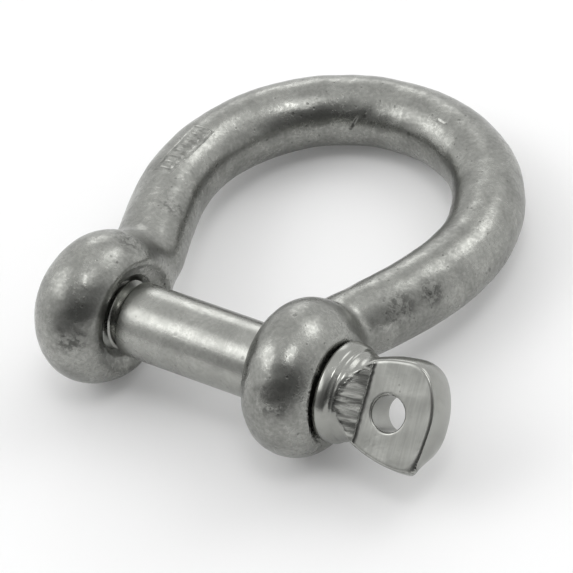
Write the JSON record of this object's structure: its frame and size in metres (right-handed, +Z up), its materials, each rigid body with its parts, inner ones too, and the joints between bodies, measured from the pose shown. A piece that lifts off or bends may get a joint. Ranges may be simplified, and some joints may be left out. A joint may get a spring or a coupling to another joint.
{
  "type": "bow shackle",
  "caption": "Bow shackle of round rod with two rounded eyes, closed by a screw pin with a collar and a flat, drilled turning tab.",
  "frame": {"origin": "middle of the underside of the whole part's box, on the surface that it lies on", "axes": "+Z up, +X along the pin towards its tab, +Y from the pin to the crown of the bow, which dips 6.3 degrees to rest on the surface"},
  "size_m": [0.065, 0.068, 0.0215],
  "materials": {
    "bow_steel": "tumbled stainless steel, mottled grey with fine pits",
    "pin_steel": "tumbled turned stainless steel",
    "tab_steel": "milled stainless steel, fine cutter marks"
  },
  "bodies": {
    "bow": {"bow": "bow_steel"},
    "pin_shank": {"pin_shank": "pin_steel"},
    "pin_head": {"pin_head": "tab_steel"}
  },
  "joints": [
    {"name": "pin_travel", "type": "slide", "parent": "bow", "child": "pin_shank", "axis": [1, 0, 0], "range_m": [0, 0.0345]},
    {"name": "pin_turn", "type": "hinge", "parent": "pin_shank", "child": "pin_head", "pos_m": [-0.00522, -0.02331, 0.01073], "axis": [1, 0, 0], "range_deg": [0, 8280]}
  ],
  "couplings": [
    {"joint": "pin_turn", "follows": "pin_travel", "rad_per_m": 4188.8}
  ]
}
